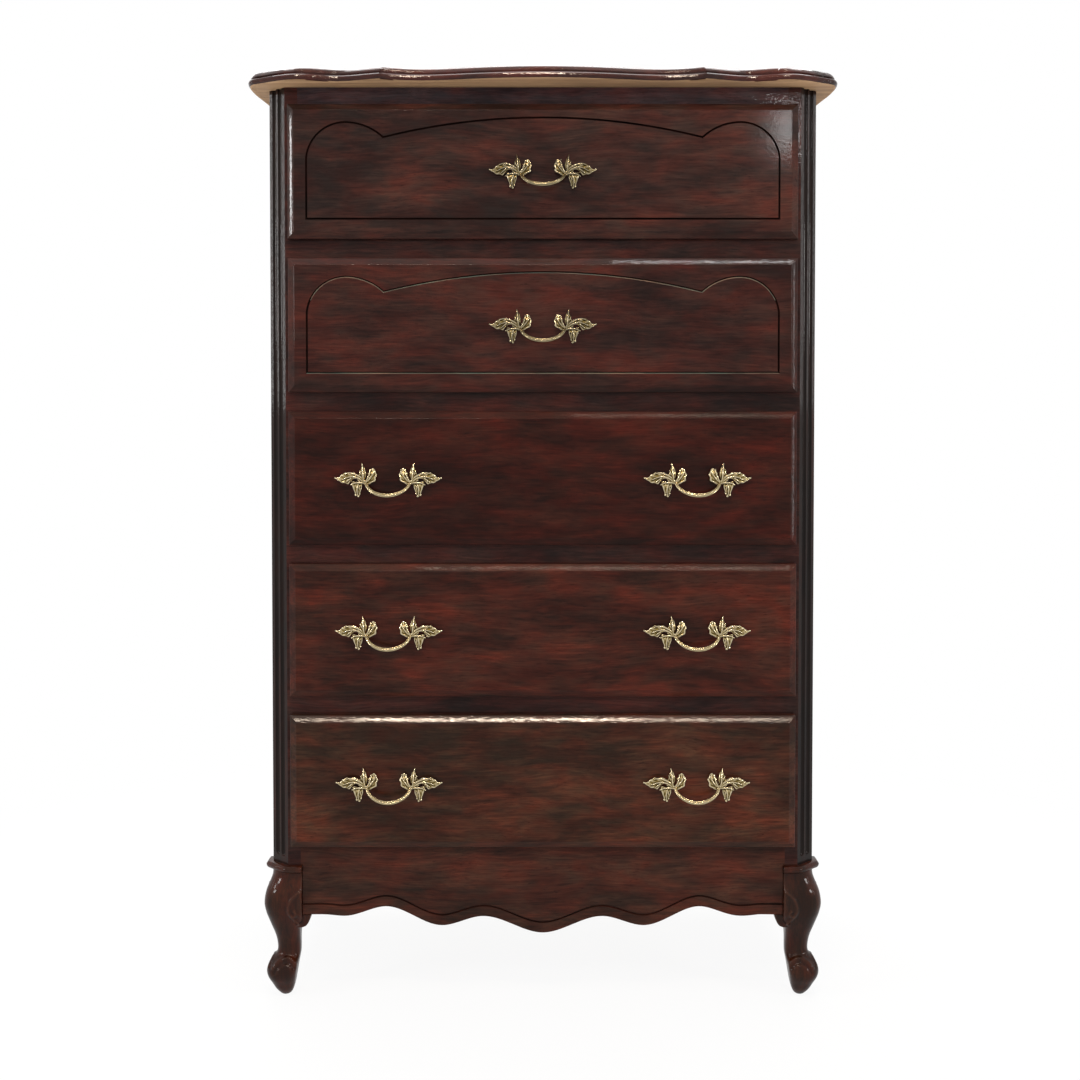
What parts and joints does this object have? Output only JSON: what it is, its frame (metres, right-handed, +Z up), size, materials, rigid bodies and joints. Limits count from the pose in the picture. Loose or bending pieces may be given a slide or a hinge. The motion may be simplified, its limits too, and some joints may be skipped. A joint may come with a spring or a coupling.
{
  "type": "tall chest of drawers",
  "caption": "Tall chest of drawers with a serpentine moulded top, fluted canted posts, bevelled overlay drawers, scalloped apron, cabriole legs and cast leaf pulls.",
  "frame": {"origin": "on the floor under the middle of the top's plan", "axes": "+X to the right seen from the front, +Y to the back, +Z up; the drawers face -Y"},
  "size_m": [0.824, 0.485, 1.3],
  "materials": {
    "mahogany_finish": "semi-gloss dark red-brown",
    "bare_wood": "bare",
    "plywood": "bare",
    "antique_brass": "antiqued, satin",
    "screw_steel": "plated"
  },
  "bodies": {
    "carcass": {"top_panel": "mahogany_finish", "left_side_panel": "mahogany_finish", "right_side_panel": "mahogany_finish", "left_front_post": "mahogany_finish", "right_front_post": "mahogany_finish", "left_rear_post": "mahogany_finish", "right_rear_post": "mahogany_finish", "back_panel": "plywood", "apron": "mahogany_finish", "top_rail": "mahogany_finish", "drawer_rail_1": "mahogany_finish", "drawer_rail_2": "mahogany_finish", "drawer_rail_3": "mahogany_finish", "drawer_rail_4": "mahogany_finish", "front_left_leg": "mahogany_finish", "front_right_leg": "mahogany_finish", "rear_left_leg": "mahogany_finish", "rear_right_leg": "mahogany_finish", "drawer_runners": "bare_wood", "centre_guides": "bare_wood", "rear_rails": "bare_wood", "leg_dowels": "bare_wood"},
    "drawer_1": {"drawer_1_front": "mahogany_finish", "drawer_1_left_side": "bare_wood", "drawer_1_right_side": "bare_wood", "drawer_1_back": "bare_wood", "drawer_1_bottom": "plywood", "drawer_1_pull_screws": "screw_steel", "drawer_1_pull": "antique_brass"},
    "drawer_2": {"drawer_2_front": "mahogany_finish", "drawer_2_left_side": "bare_wood", "drawer_2_right_side": "bare_wood", "drawer_2_back": "bare_wood", "drawer_2_bottom": "plywood", "drawer_2_pull_screws": "screw_steel", "drawer_2_pull": "antique_brass"},
    "drawer_3": {"drawer_3_front": "mahogany_finish", "drawer_3_left_side": "bare_wood", "drawer_3_right_side": "bare_wood", "drawer_3_back": "bare_wood", "drawer_3_bottom": "plywood", "drawer_3_pull_screws": "screw_steel", "drawer_3_left_pull": "antique_brass", "drawer_3_right_pull": "antique_brass"},
    "drawer_4": {"drawer_4_front": "mahogany_finish", "drawer_4_left_side": "bare_wood", "drawer_4_right_side": "bare_wood", "drawer_4_back": "bare_wood", "drawer_4_bottom": "plywood", "drawer_4_pull_screws": "screw_steel", "drawer_4_left_pull": "antique_brass", "drawer_4_right_pull": "antique_brass"},
    "drawer_5": {"drawer_5_front": "mahogany_finish", "drawer_5_left_side": "bare_wood", "drawer_5_right_side": "bare_wood", "drawer_5_back": "bare_wood", "drawer_5_bottom": "plywood", "drawer_5_pull_screws": "screw_steel", "drawer_5_left_pull": "antique_brass", "drawer_5_right_pull": "antique_brass"}
  },
  "joints": [
    {"name": "drawer_1_slide", "type": "slide", "parent": "carcass", "child": "drawer_1", "axis": [0, -1, 0], "range_m": [0, 0.3]},
    {"name": "drawer_2_slide", "type": "slide", "parent": "carcass", "child": "drawer_2", "axis": [0, -1, 0], "range_m": [0, 0.3]},
    {"name": "drawer_3_slide", "type": "slide", "parent": "carcass", "child": "drawer_3", "axis": [0, -1, 0], "range_m": [0, 0.3]},
    {"name": "drawer_4_slide", "type": "slide", "parent": "carcass", "child": "drawer_4", "axis": [0, -1, 0], "range_m": [0, 0.3]},
    {"name": "drawer_5_slide", "type": "slide", "parent": "carcass", "child": "drawer_5", "axis": [0, -1, 0], "range_m": [0, 0.3]}
  ]
}
